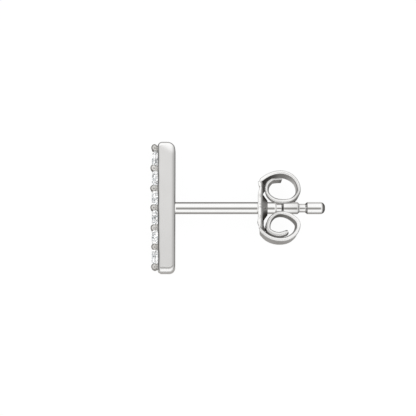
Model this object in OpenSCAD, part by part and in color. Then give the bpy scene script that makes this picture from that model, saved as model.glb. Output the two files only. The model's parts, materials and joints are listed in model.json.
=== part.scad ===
// Bar earring: a bar set with six round stones, on a grooved post with a butterfly clutch.
// Own axes of the earring: X along the post towards its free end, Y along the bar, Z across its
// width, with the middle of the bar's back at the origin. The earring is then laid on its side.

/* [Stones] */
// Diameter of each stone at its girdle
stone_d = 1.25; // [1.1:0.01:1.4]
// Gap between the girdles of neighbouring stones
stone_spacing = 0.057; // [0.03:0.001:0.12]
// Width of the table, as a share of the stone
table_share = 0.56; // [0.5:0.01:0.64]
// Height of the crown, from the girdle to the table
crown_h = 0.16; // [0.12:0.01:0.2]
// Thickness of the girdle
girdle_t = 0.03; // [0.02:0.005:0.05]
// Slope of the pavilion facets in degrees
pavilion_angle = 41; // [38:0.5:43]
// How far the girdle's lower edge stands proud of the bar's front
stone_lift = 0.2; // [0.17:0.01:0.24]

/* [Bar] */
// Width of the rail beside the stones
rail_w = 0.135; // [0.1:0.005:0.25]
// Distance from the last pair of prongs to the end of the bar
end_margin = 0.463; // [0.4:0.01:0.8]
// Thickness of the bar from front to back
bar_depth = 1.16; // [0.9:0.01:1.6]
// Radius of the corners at the ends of the front edges, seen from the side
front_corner_r = 0.24; // [0.15:0.01:0.3]
// Radius of the corners at the ends of the back edges, seen from the side
back_corner_r = 0.38; // [0.2:0.01:0.42]
// Radius of the four corners seen from the front
end_corner_r = 0.3; // [0.15:0.01:0.4]
// Radius of the long edges
edge_r = 0.11; // [0.06:0.01:0.14]

/* [Prongs] */
// Diameter of a prong's ball end
prong_ball_d = 0.47; // [0.4:0.01:0.52]
// Diameter of a prong's neck
prong_neck_d = 0.4; // [0.3:0.01:0.42]
// How far the ball ends stand proud of the bar's front
prong_proud = 0.45; // [0.41:0.01:0.5]
// Distance between the two prongs of a row, across the bar
prong_spread = 0.72; // [0.66:0.01:0.8]
// Gap left round a stone in its seat and at its prongs
seat_gap = 0.02; // [0.01:0.005:0.03]

/* [Post] */
// Diameter of the post
post_d = 0.8; // [0.7:0.01:0.9]
// Length of the post, from the bar's back to its free end
post_length = 10; // [9:0.1:12]
// Depth of the two grooves
groove_depth = 0.115; // [0.05:0.005:0.15]
// Width of a groove at its mouth
groove_mouth = 0.58; // [0.45:0.01:0.7]
// Width of a groove at its floor
groove_floor = 0.34; // [0.2:0.01:0.4]
// How much the floor of a groove is hollowed in its middle
floor_hollow = 0.02; // [0.01:0.005:0.03]
// Distance between the middles of the two grooves
groove_pitch = 1.51; // [1.2:0.01:1.8]
// Distance from the middle of the outer groove to the free end
tip_length = 1.56; // [1.3:0.01:1.8]
// Radius of the rounded free end
tip_r = 0.3; // [0.1:0.01:0.32]

/* [Clutch] */
// Thickness of the sheet
sheet_t = 0.2; // [0.15:0.01:0.24]
// Radius of the curls where they are widest, at the middle of the sheet
curl_r = 1.17; // [1.05:0.01:1.3]
// How far the curls' feet sit low on the post
curl_skew = 0.085; // [0:0.005:0.1]
// How far the lower curl's foot sits past the middle of the inner groove
snap_offset = 0.09; // [-0.1:0.01:0.15]
// Width of a wing where it leaves the plate
wing_root_w = 2.7; // [2.2:0.05:3]
// Width of a wing at its tail
wing_tip_w = 1.7; // [1.3:0.05:2.2]
// Width of the plate over its lobes
plate_w = 3.3; // [3.05:0.05:3.8]
// Radius of the plate's four lobes
lobe_r = 0.75; // [0.5:0.01:0.8]
// Distance between the lobes along the bar's direction
lobe_pitch = 1.4; // [1.1:0.05:1.5]
// Diameter of the pressed cone at the plate
cone_base_d = 2.1; // [1.8:0.05:2.4]
// Diameter of the pressed cone at its lip
cone_lip_d = 1.12; // [1.08:0.01:1.3]
// Height of the pressed cone above the plate
cone_h = 0.42; // [0.3:0.01:0.5]
// Clearance all round between the post and the clutch
post_clearance = 0.04; // [0.02:0.005:0.05]
// Wall of the channel in which the post passes between the curls
channel_wall = 0.16; // [0.12:0.01:0.2]

/* [Hidden] */
STONES = 6;
$fn = 48;

stone_r = stone_d / 2;
stone_pitch = stone_d + stone_spacing;
pavilion_h = stone_r * tan(pavilion_angle);
crown_angle = atan(crown_h / (stone_r * (1 - table_share)));

bar_length = STONES * stone_pitch + 2 * end_margin;
bar_width = stone_d + 2 * rail_w;
ball_r = prong_ball_d / 2;
// How deep the prongs and the post are rooted in the bar
root_depth = bar_depth / 4;

post_r = post_d / 2;
groove_r = post_r - groove_depth;
groove_slope = (groove_mouth - groove_floor) / 2;
outer_groove_x = post_length - tip_length;
inner_groove_x = outer_groove_x - groove_pitch;

// Each row of a curl's table is one bend of the strip: [radius as a share of curl_r, degrees turned].
// The first table runs from the foot at the post out and back to the plate, the second one from the
// foot inwards to the tail, which ends straight.
UPPER_OUTWARD = [[1.8, 12], [0.65, 78], [1, 90], [1.71, 40], [0.13, 50]];
UPPER_INWARD = [[1.8, 10], [0.79, 80], [0.47, 35], [0.34, 59]];
UPPER_TAIL = 0.5;
LOWER_OUTWARD = [[1.24, 45], [0.34, 45], [0.75, 50], [1.11, 40], [1.61, 45], [0.13, 45]];
LOWER_INWARD = [[0.8, 90], [0.26, 45], [0.77, 45], [0.77, 22]];
LOWER_TAIL = 0.21;
// The most that the strip turns in one step, in degrees
BEND_STEP = 7.5;
// How far the channel for the post runs each way from a curl's foot, as a share of curl_r
CHANNEL_REACH = 0.64;
// Radius at which the tips of a stone's lower halves lie, as a share of stone_r
HALVES_SHARE = 0.3;

// A pose on a strip is [x, y, heading]. side is 1 for a bend to the left and -1 for one to the right.
function bent(p, r, turn, side) = [
    p[0] + side * r * (sin(p[2] + side * turn) - sin(p[2])),
    p[1] - side * r * (cos(p[2] + side * turn) - cos(p[2])),
    p[2] + side * turn
];

// The poses along all bends of a table, a step apart, with the last one at the end
function along(rows, p, side, row = 0) =
    row == len(rows) ? [p] :
    let (r = rows[row][0] * curl_r, turn = rows[row][1], steps = ceil(turn / BEND_STEP))
    concat([for (k = [0 : steps - 1]) bent(p, r, turn * k / steps, side)],
           along(rows, bent(p, r, turn, side), side, row + 1));

function turned_back(poses) =
    [for (k = [len(poses) - 1 : -1 : 0]) [poses[k][0], poses[k][1], poses[k][2] + 180]];

function straight_on(p, run) = [p[0] + run * cos(p[2]), p[1] + run * sin(p[2]), p[2]];

// A whole strip from the plate to the tail, with its foot at the origin
function strip(outward, inward, tail) =
    let (back = turned_back(along(outward, [0, 0, 0], 1)), on = along(inward, [0, 0, 180], -1))
    concat(back, [for (k = [1 : len(on) - 1]) on[k]], [straight_on(on[len(on) - 1], tail * curl_r)]);

function run_to(poses, i) = i == 0 ? 0 :
    run_to(poses, i - 1) + norm([poses[i][0] - poses[i - 1][0], poses[i][1] - poses[i - 1][1]]);

UPPER_STRIP = strip(UPPER_OUTWARD, UPPER_INWARD, UPPER_TAIL);
LOWER_STRIP = strip(LOWER_OUTWARD, LOWER_INWARD, LOWER_TAIL);

// Places of the clutch: the middle of its plate, and the foot of each curl at the middle of the sheet
plate_mid_x = inner_groove_x + snap_offset + LOWER_STRIP[0][0];
upper_foot = [plate_mid_x - UPPER_STRIP[0][0], groove_r - curl_skew + sheet_t / 2];
lower_foot = [plate_mid_x - LOWER_STRIP[0][0], groove_r + curl_skew + sheet_t / 2];
plate_x = plate_mid_x - sheet_t / 2;
plate_top = upper_foot[1] + UPPER_STRIP[0][1];
plate_bottom = lower_foot[1] + LOWER_STRIP[0][1];
bore_r = post_r + post_clearance;
channel_r = bore_r + channel_wall;

// At rest the bar's lower front edge and the plate's lower lobes touch the surface. The line under
// both gives the tilt, and the lift and shift that bring the middle of the footprint to the origin.
edge_mid = [edge_r - bar_depth, edge_r - bar_width / 2];
lobe_edge = [plate_x, -plate_w / 2];
edge_to_lobe = lobe_edge - edge_mid;
rest_tilt = -atan2(edge_to_lobe[1], edge_to_lobe[0]) - asin(edge_r / norm(edge_to_lobe));
rest_lift = plate_w / 2 * cos(rest_tilt) - plate_x * sin(rest_tilt);
front_reach = (prong_proud + bar_depth - ball_r) * cos(rest_tilt) + prong_spread / 2 * sin(rest_tilt)
    + ball_r;
tip_reach = (post_length - tip_r) * cos(rest_tilt) + (post_r - tip_r) * sin(rest_tilt) + tip_r;

module laid() {
    translate([(front_reach - tip_reach) / 2, 0, rest_lift]) rotate([0, -rest_tilt, 0]) children();
}

// A rectangle with one radius on its two left corners and another on its two right corners
module rounded(w, h, left_r, right_r) {
    translate([left_r, -h / 2]) square([w - left_r - right_r, h]);
    translate([0, left_r - h / 2]) square([w, h - 2 * left_r]);
    translate([w / 2, right_r - h / 2]) square([w / 2, h - 2 * right_r]);
    for (side = [-1, 1]) {
        translate([left_r, side * (h / 2 - left_r)]) circle(left_r);
        translate([w - right_r, side * (h / 2 - right_r)]) circle(right_r);
    }
}

module bar() {
    intersection() {
        translate([-bar_depth, 0, -bar_width / 2]) linear_extrude(bar_width)
            rounded(bar_depth, bar_length, front_corner_r, back_corner_r);
        translate([0, bar_length / 2, 0]) rotate([90, 0, 0]) linear_extrude(bar_length)
            translate([-bar_depth, 0]) rounded(bar_depth, bar_width, edge_r, edge_r);
        rotate([0, -90, 0]) linear_extrude(bar_depth)
            translate([-bar_width / 2, 0]) rounded(bar_width, bar_length, end_corner_r, end_corner_r);
    }
}

module prong() {
    rotate([0, -90, 0]) {
        translate([0, 0, bar_depth - root_depth])
            cylinder(h = root_depth + prong_proud - ball_r, d = prong_neck_d);
        translate([0, 0, bar_depth + prong_proud - ball_r]) sphere(ball_r);
    }
}

module prongs() {
    for (row = [0 : STONES], side = [-1, 1])
        translate([0, (row - STONES / 2) * stone_pitch, side * prong_spread / 2]) prong();
}

// The cutting outline of a groove: its flanks slope, it ends a groove's depth outside the post, and a
// large circle through the two corners of its floor hollows the floor
module groove() {
    half = groove_floor / 2;
    wide = half + 2 * groove_slope;
    low_r = groove_r - floor_hollow;
    out_r = post_r + groove_depth;
    hollow_r = (half * half + floor_hollow * floor_hollow) / (2 * floor_hollow);
    intersection() {
        polygon([[low_r, -half], [groove_r, -half], [out_r, -wide],
                 [out_r, wide], [groove_r, half], [low_r, half]]);
        translate([low_r + hollow_r, 0]) circle(hollow_r);
    }
}

module post() {
    rotate([0, 90, 0]) rotate_extrude() difference() {
        union() {
            translate([0, -root_depth]) square([post_r - tip_r, post_length + root_depth]);
            translate([0, -root_depth]) square([post_r, post_length + root_depth - tip_r]);
            intersection() {
                translate([post_r - tip_r, post_length - tip_r]) circle(tip_r);
                square([post_r, post_length]);
            }
        }
        for (x = [inner_groove_x, outer_groove_x]) translate([0, x]) groove();
    }
}

module at_stone(k) {
    translate([-bar_depth - stone_lift, (k - (STONES + 1) / 2) * stone_pitch, 0]) rotate([0, -90, 0])
        children();
}

// The room of one stone and the gap round it, from its girdle's lower edge, with a way out above
module stone_room() {
    down = seat_gap / cos(pavilion_angle);
    up = seat_gap / cos(crown_angle);
    out_r = stone_r + seat_gap;
    rotate_extrude() polygon([
        [0, -pavilion_h - down],
        [out_r, seat_gap * tan(pavilion_angle) - down],
        [out_r, girdle_t + up - seat_gap * tan(crown_angle)],
        [stone_r * table_share, girdle_t + crown_h + up],
        [0, girdle_t + crown_h + up]
    ]);
}

module setting() {
    color("gainsboro") laid() difference() {
        union() {
            bar();
            prongs();
            post();
        }
        for (k = [1 : STONES]) at_stone(k) stone_room();
    }
}

function ring(r, z, turn, n) =
    [for (k = [0 : n - 1]) let (a = turn + 360 / n * k) [r * cos(a), r * sin(a), z]];

// A round brilliant with eight-fold symmetry. Its rings of points are the table, the star tips, the
// upper and lower edge of the girdle and the tips of the lower halves, with the culet last. A tip lies
// in the plane of the kite facets beside it, which gives its height.
module brilliant() {
    table_r = stone_r * table_share;
    star_r = stone_r * (1 + table_share) / 2;
    half_r = stone_r * HALVES_SHARE;
    kite = cos(22.5);
    star_z = girdle_t + crown_h * (stone_r - star_r * kite) / (stone_r - table_r);
    half_z = -pavilion_h * (stone_r - half_r * kite) / stone_r;
    points = concat(
        ring(table_r, girdle_t + crown_h, 0, 8),
        ring(star_r, star_z, 22.5, 8),
        ring(stone_r, girdle_t, 0, 16),
        ring(stone_r, 0, 0, 16),
        ring(half_r, half_z, 22.5, 8),
        [[0, 0, -pavilion_h]]
    );
    star = 8;
    upper = 16;
    lower = 32;
    half = 48;
    culet = 56;
    faces = concat(
        [[for (k = [7 : -1 : 0]) k]],
        [for (k = [0 : 7]) [k, (k + 1) % 8, star + k]],
        [for (k = [0 : 7]) [k, star + k, upper + 2 * k, star + (k + 7) % 8]],
        [for (k = [0 : 7]) [star + k, upper + 2 * k + 1, upper + 2 * k]],
        [for (k = [0 : 7]) [star + k, upper + (2 * k + 2) % 16, upper + 2 * k + 1]],
        [for (k = [0 : 15]) [upper + k, upper + (k + 1) % 16, lower + (k + 1) % 16, lower + k]],
        [for (k = [0 : 7]) [half + k, lower + 2 * k, lower + 2 * k + 1]],
        [for (k = [0 : 7]) [half + k, lower + 2 * k + 1, lower + (2 * k + 2) % 16]],
        [for (k = [0 : 7]) [culet, half + (k + 7) % 8, lower + 2 * k, half + k]]
    );
    polyhedron(points, faces);
}

module stone(k) {
    color("lightcyan") laid() at_stone(k) brilliant();
}

// The sheet bent along a strip: a flat section with broken corners, narrowing towards the tail
module wing(poses, foot) {
    last = len(poses) - 1;
    whole = run_to(poses, last);
    corner = sheet_t / 4;
    points = [
        for (i = [0 : last])
            let (w = wing_root_w + (wing_tip_w - wing_root_w) * run_to(poses, i) / whole,
                 p = poses[i],
                 a = sheet_t / 2,
                 b = w / 2)
            for (c = [[a, b - corner], [a - corner, b], [corner - a, b], [-a, b - corner],
                      [-a, corner - b], [corner - a, -b], [a - corner, -b], [a, corner - b]])
                [foot[0] + p[0] - c[0] * sin(p[2]), foot[1] + p[1] + c[0] * cos(p[2]), c[1]]
    ];
    sides = [for (i = [0 : last - 1], k = [0 : 7])
        [8 * i + k, 8 * (i + 1) + k, 8 * (i + 1) + (k + 1) % 8, 8 * i + (k + 1) % 8]];
    polyhedron(points, concat([[for (k = [0 : 7]) k]], sides, [[for (k = [7 : -1 : 0]) 8 * last + k]]));
}

// The wall of the channel for the post, kept inside the curl whose strip it joins
module channel(poses, foot) {
    reach = curl_r * CHANNEL_REACH;
    a = sheet_t / 2;
    around = [for (p = poses) [foot[0] + p[0] - a * sin(p[2]), foot[1] + p[1] + a * cos(p[2])]];
    intersection() {
        translate([foot[0] - reach, 0, 0]) rotate([0, 90, 0]) cylinder(h = 2 * reach, r = channel_r);
        linear_extrude(2 * channel_r, center = true) polygon(around);
    }
}

module plate() {
    lobe_z = plate_w / 2 - lobe_r;
    translate([plate_x, 0, 0]) rotate([90, 0, 90]) linear_extrude(sheet_t) {
        translate([-plate_bottom, -wing_root_w / 2]) square([plate_top + plate_bottom, wing_root_w]);
        for (y = [-1, 1], z = [-1, 1])
            translate([(plate_top - plate_bottom) / 2 + y * lobe_pitch / 2, z * lobe_z]) circle(lobe_r);
    }
    translate([plate_x + sheet_t / 2, 0, 0]) rotate([0, 90, 0])
        cylinder(h = cone_h + sheet_t / 2, d1 = cone_base_d, d2 = cone_lip_d);
}

module clutch() {
    color("silver") laid() difference() {
        union() {
            plate();
            wing(UPPER_STRIP, upper_foot);
            mirror([0, 1, 0]) wing(LOWER_STRIP, lower_foot);
            channel(UPPER_STRIP, upper_foot);
            mirror([0, 1, 0]) channel(LOWER_STRIP, lower_foot);
        }
        translate([plate_x - sheet_t, 0, 0]) rotate([0, 90, 0]) {
            cylinder(h = post_length, r = bore_r);
            cylinder(h = cone_h + sheet_t, d1 = cone_base_d + sheet_t, d2 = 2 * bore_r - sheet_t);
        }
    }
}

setting();
stone(1);  // stone_1
stone(2);  // stone_2
stone(3);  // stone_3
stone(4);  // stone_4
stone(5);  // stone_5
stone(6);  // stone_6
clutch();
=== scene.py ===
# %% [markdown]
# # A bar earring with six stones
#
# The earring is a solid bar set with a row of six round stones. A grooved post is soldered to the
# bar's back, and a butterfly clutch slides on the post. It lies on its side, on the lower long edge
# of the bar and the lower lobes of the clutch's plate. The exact solids come from the frame. Here
# the metal gets finer surfaces than those, and everything gets its finish.

# %% The frame
import json
import math

import bpy
import numpy as np
from mathutils import Matrix


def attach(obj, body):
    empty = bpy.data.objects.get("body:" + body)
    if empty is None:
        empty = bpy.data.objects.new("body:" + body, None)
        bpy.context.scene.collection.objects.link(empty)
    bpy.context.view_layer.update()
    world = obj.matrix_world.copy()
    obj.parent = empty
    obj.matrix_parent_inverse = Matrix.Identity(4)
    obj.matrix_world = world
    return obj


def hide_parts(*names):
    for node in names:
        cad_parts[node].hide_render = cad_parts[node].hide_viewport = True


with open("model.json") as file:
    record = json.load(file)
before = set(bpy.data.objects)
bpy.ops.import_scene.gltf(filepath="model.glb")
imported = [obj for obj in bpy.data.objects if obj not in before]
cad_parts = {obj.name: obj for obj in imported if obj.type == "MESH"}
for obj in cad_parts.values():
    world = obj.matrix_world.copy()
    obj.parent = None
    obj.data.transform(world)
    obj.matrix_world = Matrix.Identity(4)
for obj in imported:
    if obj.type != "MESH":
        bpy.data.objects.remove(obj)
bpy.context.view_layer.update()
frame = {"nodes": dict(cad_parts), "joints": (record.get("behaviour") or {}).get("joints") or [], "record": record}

# %% [markdown]
# ## The earring's own axes
#
# Every part of the earring is square to the post, so the shapes are easiest in axes of its own:
# X along the post, Y along the bar, Z across the width, in millimetres from the middle of the bar's
# back. The earring then lies tilted. The joint of the clutch gives the direction of the post, and
# the mount on the bar's back gives the place, so the surfaces always land on the solids.

# %% From own millimetres to the frame's metres
MM = 0.001
post_axis = frame["joints"][0]["axis"]
tilt = math.atan2(post_axis[2], post_axis[0])
back_mount = {m["name"]: m["pos_m"] for m in frame["record"]["mounts"]}["bar_back"]
own_to_row = np.array([[math.cos(tilt), 0, -math.sin(tilt)],
                       [0, 1, 0],
                       [math.sin(tilt), 0, math.cos(tilt)]])
own_origin = np.array([back_mount[0], 0, back_mount[2]])


def to_row(points):
    """Own millimetres to the frame's metres: a turn by the tilt about Y, then a move."""
    return np.asarray(points, float) @ own_to_row.T * MM + own_origin


print("the earring lies tilted by", round(math.degrees(tilt), 2), "degrees")

# %% [markdown]
# ## Meshes from arrays
#
# A surface is a grid of points, worked out as one array. Three helpers turn such grids into closed
# meshes. Faces that come out inside out are turned round, which the enclosed volume tells. Normals
# are weighted by the area of the faces, so that a large flat face stays flat in its shading and a
# narrow rounded edge beside it takes all of the turn. Polished metal shows every error there.

# %% Grids, caps and normals
def joined_rings(rings, around, closed=False):
    """Quads between neighbouring rings of points. Each ring closes on itself, and if closed the
    last ring also meets the first."""
    ring = np.arange(rings if closed else rings - 1)[:, None]
    k = np.arange(around)[None, :]
    up, on = (ring + 1) % rings, (k + 1) % around
    corners = [ring * around + k, ring * around + on, up * around + on, up * around + k]
    return np.stack(corners, -1).reshape(-1, 4)


def capped_tube(rings, first=None, last=None):
    """A grid of rings (rings, around, 3) as points and faces, with each open end closed by a fan of
    triangles. The fan's middle is the mean of its ring unless it is given."""
    n, m = rings.shape[:2]
    ends = [rings[0].mean(0) if first is None else first,
            rings[-1].mean(0) if last is None else last]
    points = np.concatenate([rings.reshape(-1, 3), ends])
    k = np.arange(m)
    fan = np.stack([np.full(m, n * m), (k + 1) % m, k], -1)
    top = (n - 1) * m
    fans = np.concatenate([fan, np.stack([np.full(m, n * m + 1), top + k, top + (k + 1) % m], -1)])
    return points, [joined_rings(n, m), fans]


def enclosed_volume(points, faces):
    """The sum over all triangles of the faces of p0 . (p1 x p2) / 6, which is the volume."""
    total = 0.0
    for block in faces:
        p = points[block]
        for k in range(1, block.shape[1] - 1):
            total += np.einsum("ij,ij", p[:, 0], np.cross(p[:, k], p[:, k + 1])) / 6
    return total


def area_normals(points, faces):
    """At each point the sum of its faces' normals, each as long as its face is large."""
    normals = np.zeros_like(points)
    for block in faces:
        p = points[block]
        across = np.cross(p[:, 2] - p[:, 0], p[:, -1] - p[:, 1])
        for k in range(block.shape[1]):
            np.add.at(normals, block[:, k], across)
    return normals / np.maximum(np.linalg.norm(normals, axis=1, keepdims=True), 1e-12)


def several(copies, points, faces):
    """Equal grids (copies, points, 3) as one set of points and faces."""
    shift = np.arange(copies) * points.shape[1]
    blocks = [(block[None] + shift[:, None, None]).reshape(-1, block.shape[1]) for block in faces]
    return points.reshape(-1, 3), blocks


def new_object(name, data):
    """An object of the scene, at the origin."""
    obj = bpy.data.objects.new(name, data)
    bpy.context.scene.collection.objects.link(obj)
    return obj


def make_piece(name, points, faces, body, slot, replaced, **marks):
    """A closed, smooth mesh object from own millimetres, riding on a body of the frame. Its points
    may carry marks from 0 to 1, painted shade and satin, which the metal's finish reads."""
    if enclosed_volume(points, faces) < 0:
        faces = [block[:, ::-1] for block in faces]
    placed = to_row(points)
    mesh = bpy.data.meshes.new(name)
    mesh.from_pydata(placed.tolist(), [], [face for block in faces for face in block.tolist()])
    mesh.shade_smooth()
    mesh.normals_split_custom_set_from_vertices(area_normals(placed, faces).tolist())
    for mark, value in marks.items():
        layer = mesh.attributes.new(mark, "FLOAT", "POINT")
        layer.data.foreach_set("value", value.ravel().astype(float))
    obj = new_object(name, mesh)
    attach(obj, body)
    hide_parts(replaced)
    print(f"{name}: {len(points)} points, {enclosed_volume(points, faces):+.2f} mm3")
    return obj


# %% [markdown]
# ## The bar
#
# The bar is a plain block, polished all over, with six cone-shaped seats in its front. It could be
# cut with booleans, but those leave slivers that show in polish. So it is one closed grid: a front
# face, a wall that sweeps to the back in steps, and a back face. Each step is a rounded rectangle,
# and its insets along Y and along Z follow quarter circles of different radii.
#
# It was finished by hand. The two ends are rounded differently, the upper one falls away aslant
# where the buffing wheel ran off, and the front edges dip at each stone. A thin dark line of painted
# shade runs along the long edges, standing for the dark that they mirror, and the sides of the
# lower end keep a little satin from filing.

# %% Sizes of the bar and of the stones
STONES, STONE_R, STONE_PITCH, STONE_LIFT = 6, 0.625, 1.307, 0.2
PAVILION_SLOPE, SEAT_GAP = math.tan(math.radians(41)), 0.0265
BAR_L, BAR_W, BAR_DEPTH = 8.768, 1.52, 1.16
FRONT_END_R, BACK_END_R, LONG_EDGE_R, UPPER_CORNER_R, LOWER_CORNER_R = 0.3, 0.5, 0.11, 0.24, 0.42
LOWER_FRONT, LOWER_BACK = 0.55, 0.8
BUFF_SLOPE, BUFF_EASE, BUFF_FROM, BUFF_WAY = 0.1, 0.2, (-1.0, 4.2), (0.55, 0.84)
DIP, STONE_DIP, DIP_REACH, DIPS_END = 0.03, 0.012, 0.2, 3.95
RAIL_FROM, RAIL_EASE, EDGE_LEAN, LOWER_LEAN = 0.62, 0.08, 0.006, 0.008
SIDE_EDGE, SIDE_EASE, SATIN, SATIN_BELOW, SATIN_EASE = 0.16, 0.04, 0.45, -3.9, 0.05
EDGE_LINES = [(0.035 - BAR_DEPTH, 0.06, 0.85), (-0.02, 0.13, 0.68)]
stone_y = (np.arange(STONES) - (STONES - 1) / 2) * STONE_PITCH


def quarter_inset(depth, radius):
    """How far a surface stands back at a depth below a face that meets it in a quarter circle."""
    left = np.clip(radius - depth, 0, radius)
    return radius - np.sqrt(radius ** 2 - left ** 2)


def pressed_corners(v, w, half_y, half_z, corner):
    """A grid over [-1, 1] x [-1, 1] laid on a rectangle. Each corner square is pressed into a
    quarter disc: one coordinate shrinks by the root of one less half the other's square."""
    y, z = v * half_y, w * half_z
    a = np.clip((np.abs(y) - half_y + corner) / corner, 0, 1)
    b = np.clip((np.abs(z) - half_z + corner) / corner, 0, 1)
    flat_y, flat_z = np.minimum(np.abs(y), half_y - corner), np.minimum(np.abs(z), half_z - corner)
    return (np.sign(y) * (flat_y + corner * a * np.sqrt(1 - b * b / 2)),
            np.sign(z) * (flat_z + corner * b * np.sqrt(1 - a * a / 2)))


def section(depth_front, depth_back, v):
    """Half lengths and corner radii of the bar's section at a depth below each of its faces. Where
    v is below 0, at the lower end, the roundings of the faces are smaller by a share and those of
    the corners larger."""
    inset_z = quarter_inset(depth_front, LONG_EDGE_R) + quarter_inset(depth_back, LONG_EDGE_R)
    inset_y = (quarter_inset(depth_front, np.where(v > 0, 1, LOWER_FRONT) * FRONT_END_R)
               + quarter_inset(depth_back, np.where(v > 0, 1, LOWER_BACK) * BACK_END_R))
    corner = np.where(v > 0, UPPER_CORNER_R, LOWER_CORNER_R)
    return BAR_L / 2 - inset_y, BAR_W / 2 - inset_z, corner - inset_z


def buffed_end(x, y):
    """How far the sides fall away at the upper end: a slope times the run beyond a slanting line,
    with half of run + root(run^2 + ease^2) in place of the run, to start softly."""
    run = (x - BUFF_FROM[0]) * BUFF_WAY[0] + (y - BUFF_FROM[1]) * BUFF_WAY[1]
    return BUFF_SLOPE / 2 * (run + np.sqrt(run ** 2 + BUFF_EASE ** 2)) * (y > 0)


def leaning(points):
    """The front stands a little aslant: x moves by a share of y, which fades towards the back. The
    front edges also dip, by a bell curve of the depth and at each stone by a cosine wave. Between
    the rails only the lower half leans, so the seats keep clear of the stones."""
    x, y, z = points.T
    at_edge = np.clip((np.abs(z) - RAIL_FROM) / RAIL_EASE, 0, 1)
    at_edge = np.where(x > -BAR_DEPTH * 0.98, 1, at_edge)
    wave = 1 + np.cos((y - stone_y[0]) * 2 * math.pi / STONE_PITCH)
    wave = np.where(np.abs(y) < DIPS_END, wave, 0)
    dip = (DIP + STONE_DIP * wave) * np.exp(-((x + BAR_DEPTH) / DIP_REACH) ** 2)
    front_share = np.clip(-x / BAR_DEPTH, 0, 1)
    x = (x + at_edge * (dip - EDGE_LEAN * y * front_share)
         - LOWER_LEAN * np.minimum(y, 0) * front_share)
    return np.stack([x, y, z], -1)


def edge_tarnish(points):
    """Painted shade along the bar's long edges, on the sides only: bell curves of the depth, one narrow
    and strong just behind the front, one wider and weaker at the back."""
    x, _, z = points.T
    on_side = np.clip((SIDE_EDGE - BAR_W / 2 + np.abs(z)) / SIDE_EASE, 0, 1)
    lines = sum(strength * np.exp(-((x - at) / width) ** 2) for at, width, strength in EDGE_LINES)
    return on_side * np.clip(lines, 0, 1)


def seat_depth(y, z):
    """Depth of the seats: at each stone a cone about its axis, as steep as the stone's pavilion."""
    from_axis = np.min(np.hypot(y[..., None] - stone_y, z[..., None]), axis=-1)
    return np.maximum(0, (STONE_R - from_axis) * PAVILION_SLOPE + SEAT_GAP - STONE_LIFT)


# %% The bar's surface
LONG_CELLS, CROSS_CELLS = 280, 44
v, w = np.meshgrid(np.linspace(-1, 1, LONG_CELLS + 1), np.linspace(-1, 1, CROSS_CELLS + 1),
                   indexing="ij")
index = np.arange(v.size).reshape(v.shape)
rim = np.concatenate([index[:-1, 0], index[-1, :-1], index[:0:-1, -1], index[0, :0:-1]])

quarter = 1 - np.cos(np.linspace(0, math.pi / 2, 9))
front_steps = np.unique(np.concatenate([LONG_EDGE_R * quarter, FRONT_END_R * quarter]))[1:]
back_steps = np.unique(np.concatenate([LONG_EDGE_R * quarter, BACK_END_R * quarter]))[1:]
depths = np.concatenate([front_steps, np.linspace(FRONT_END_R, BAR_DEPTH - BACK_END_R, 4)[1:-1],
                         BAR_DEPTH - back_steps[::-1]])


def bar_layer(depth, v, w):
    """Points of the bar's section at a depth below its front."""
    y, z = pressed_corners(v, w, *section(depth, BAR_DEPTH - depth, v))
    x = np.full_like(y, depth - BAR_DEPTH)
    return np.stack([x, y, z * (1 - buffed_end(x, y) / (BAR_W / 2))], -1)


front_face = bar_layer(0.0, v, w).reshape(-1, 3)
back_face = bar_layer(BAR_DEPTH, v, w).reshape(-1, 3)
front_face[:, 0] += seat_depth(front_face[:, 1], front_face[:, 2])
wall = np.concatenate([bar_layer(d, v.ravel()[rim], w.ravel()[rim]) for d in depths])
bar_points = np.concatenate([front_face, wall, back_face])
# Painted shade: dark lines along the long edges.
bar_tarnish = edge_tarnish(bar_points)
bar_points = leaning(bar_points)

# %% The bar's faces and its marks
cells = np.stack([index[:-1, :-1], index[1:, :-1], index[1:, 1:], index[:-1, 1:]], -1)
cells = cells.reshape(-1, 4)
ring_ids = np.concatenate([rim[None], v.size + np.arange(len(wall)).reshape(len(depths), -1),
                           rim[None] + v.size + len(wall)])
around_ids = np.roll(ring_ids, -1, axis=1)
walls = np.stack([ring_ids[:-1], ring_ids[1:], around_ids[1:], around_ids[:-1]], -1).reshape(-1, 4)
bar_faces = [cells, walls, cells[:, ::-1] + v.size + len(wall)]
at_lower_end = np.clip((SATIN_BELOW - bar_points[:, 1]) / SATIN_EASE, 0, 1)
bar_satin = SATIN * at_lower_end * (np.abs(bar_points[:, 2]) > BAR_W / 2 - SIDE_EDGE)
bar = make_piece("bar", bar_points, bar_faces, "earring", "silver", "setting",
                 tarnish=bar_tarnish, satin=bar_satin)

# %% [markdown]
# ## The post
#
# The post is drawn wire with two grooves that the clutch snaps into and a rounded free end. It is
# turned: a profile of distance and radius, carried round the axis. Each corner of the profile is
# rounded a little by a curve of its own, because even a sharp turned edge catches a thin light.
# Dark rings on the shoulders of the grooves and round the tip are painted shade.

# %% A profile with eased corners, carried round an axis
def eased(corners, ease, steps=4):
    """Each inner corner of a polyline becomes a curve that starts and ends ease away from it: the
    blend (1-t)^2 A + 2 t (1-t) corner + t^2 B."""
    corners, ease = np.asarray(corners, float), np.asarray(ease, float)[:, None]
    before, after = corners[:-2] - corners[1:-1], corners[2:] - corners[1:-1]
    a = corners[1:-1] + before * ease / np.linalg.norm(before, axis=1, keepdims=True)
    b = corners[1:-1] + after * ease / np.linalg.norm(after, axis=1, keepdims=True)
    t = np.linspace(0, 1, steps + 1)[None, :, None]
    bends = (1 - t) ** 2 * a[:, None] + 2 * t * (1 - t) * corners[1:-1, None] + t ** 2 * b[:, None]
    return np.concatenate([corners[:1], bends.reshape(-1, 2), corners[-1:]])


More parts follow.
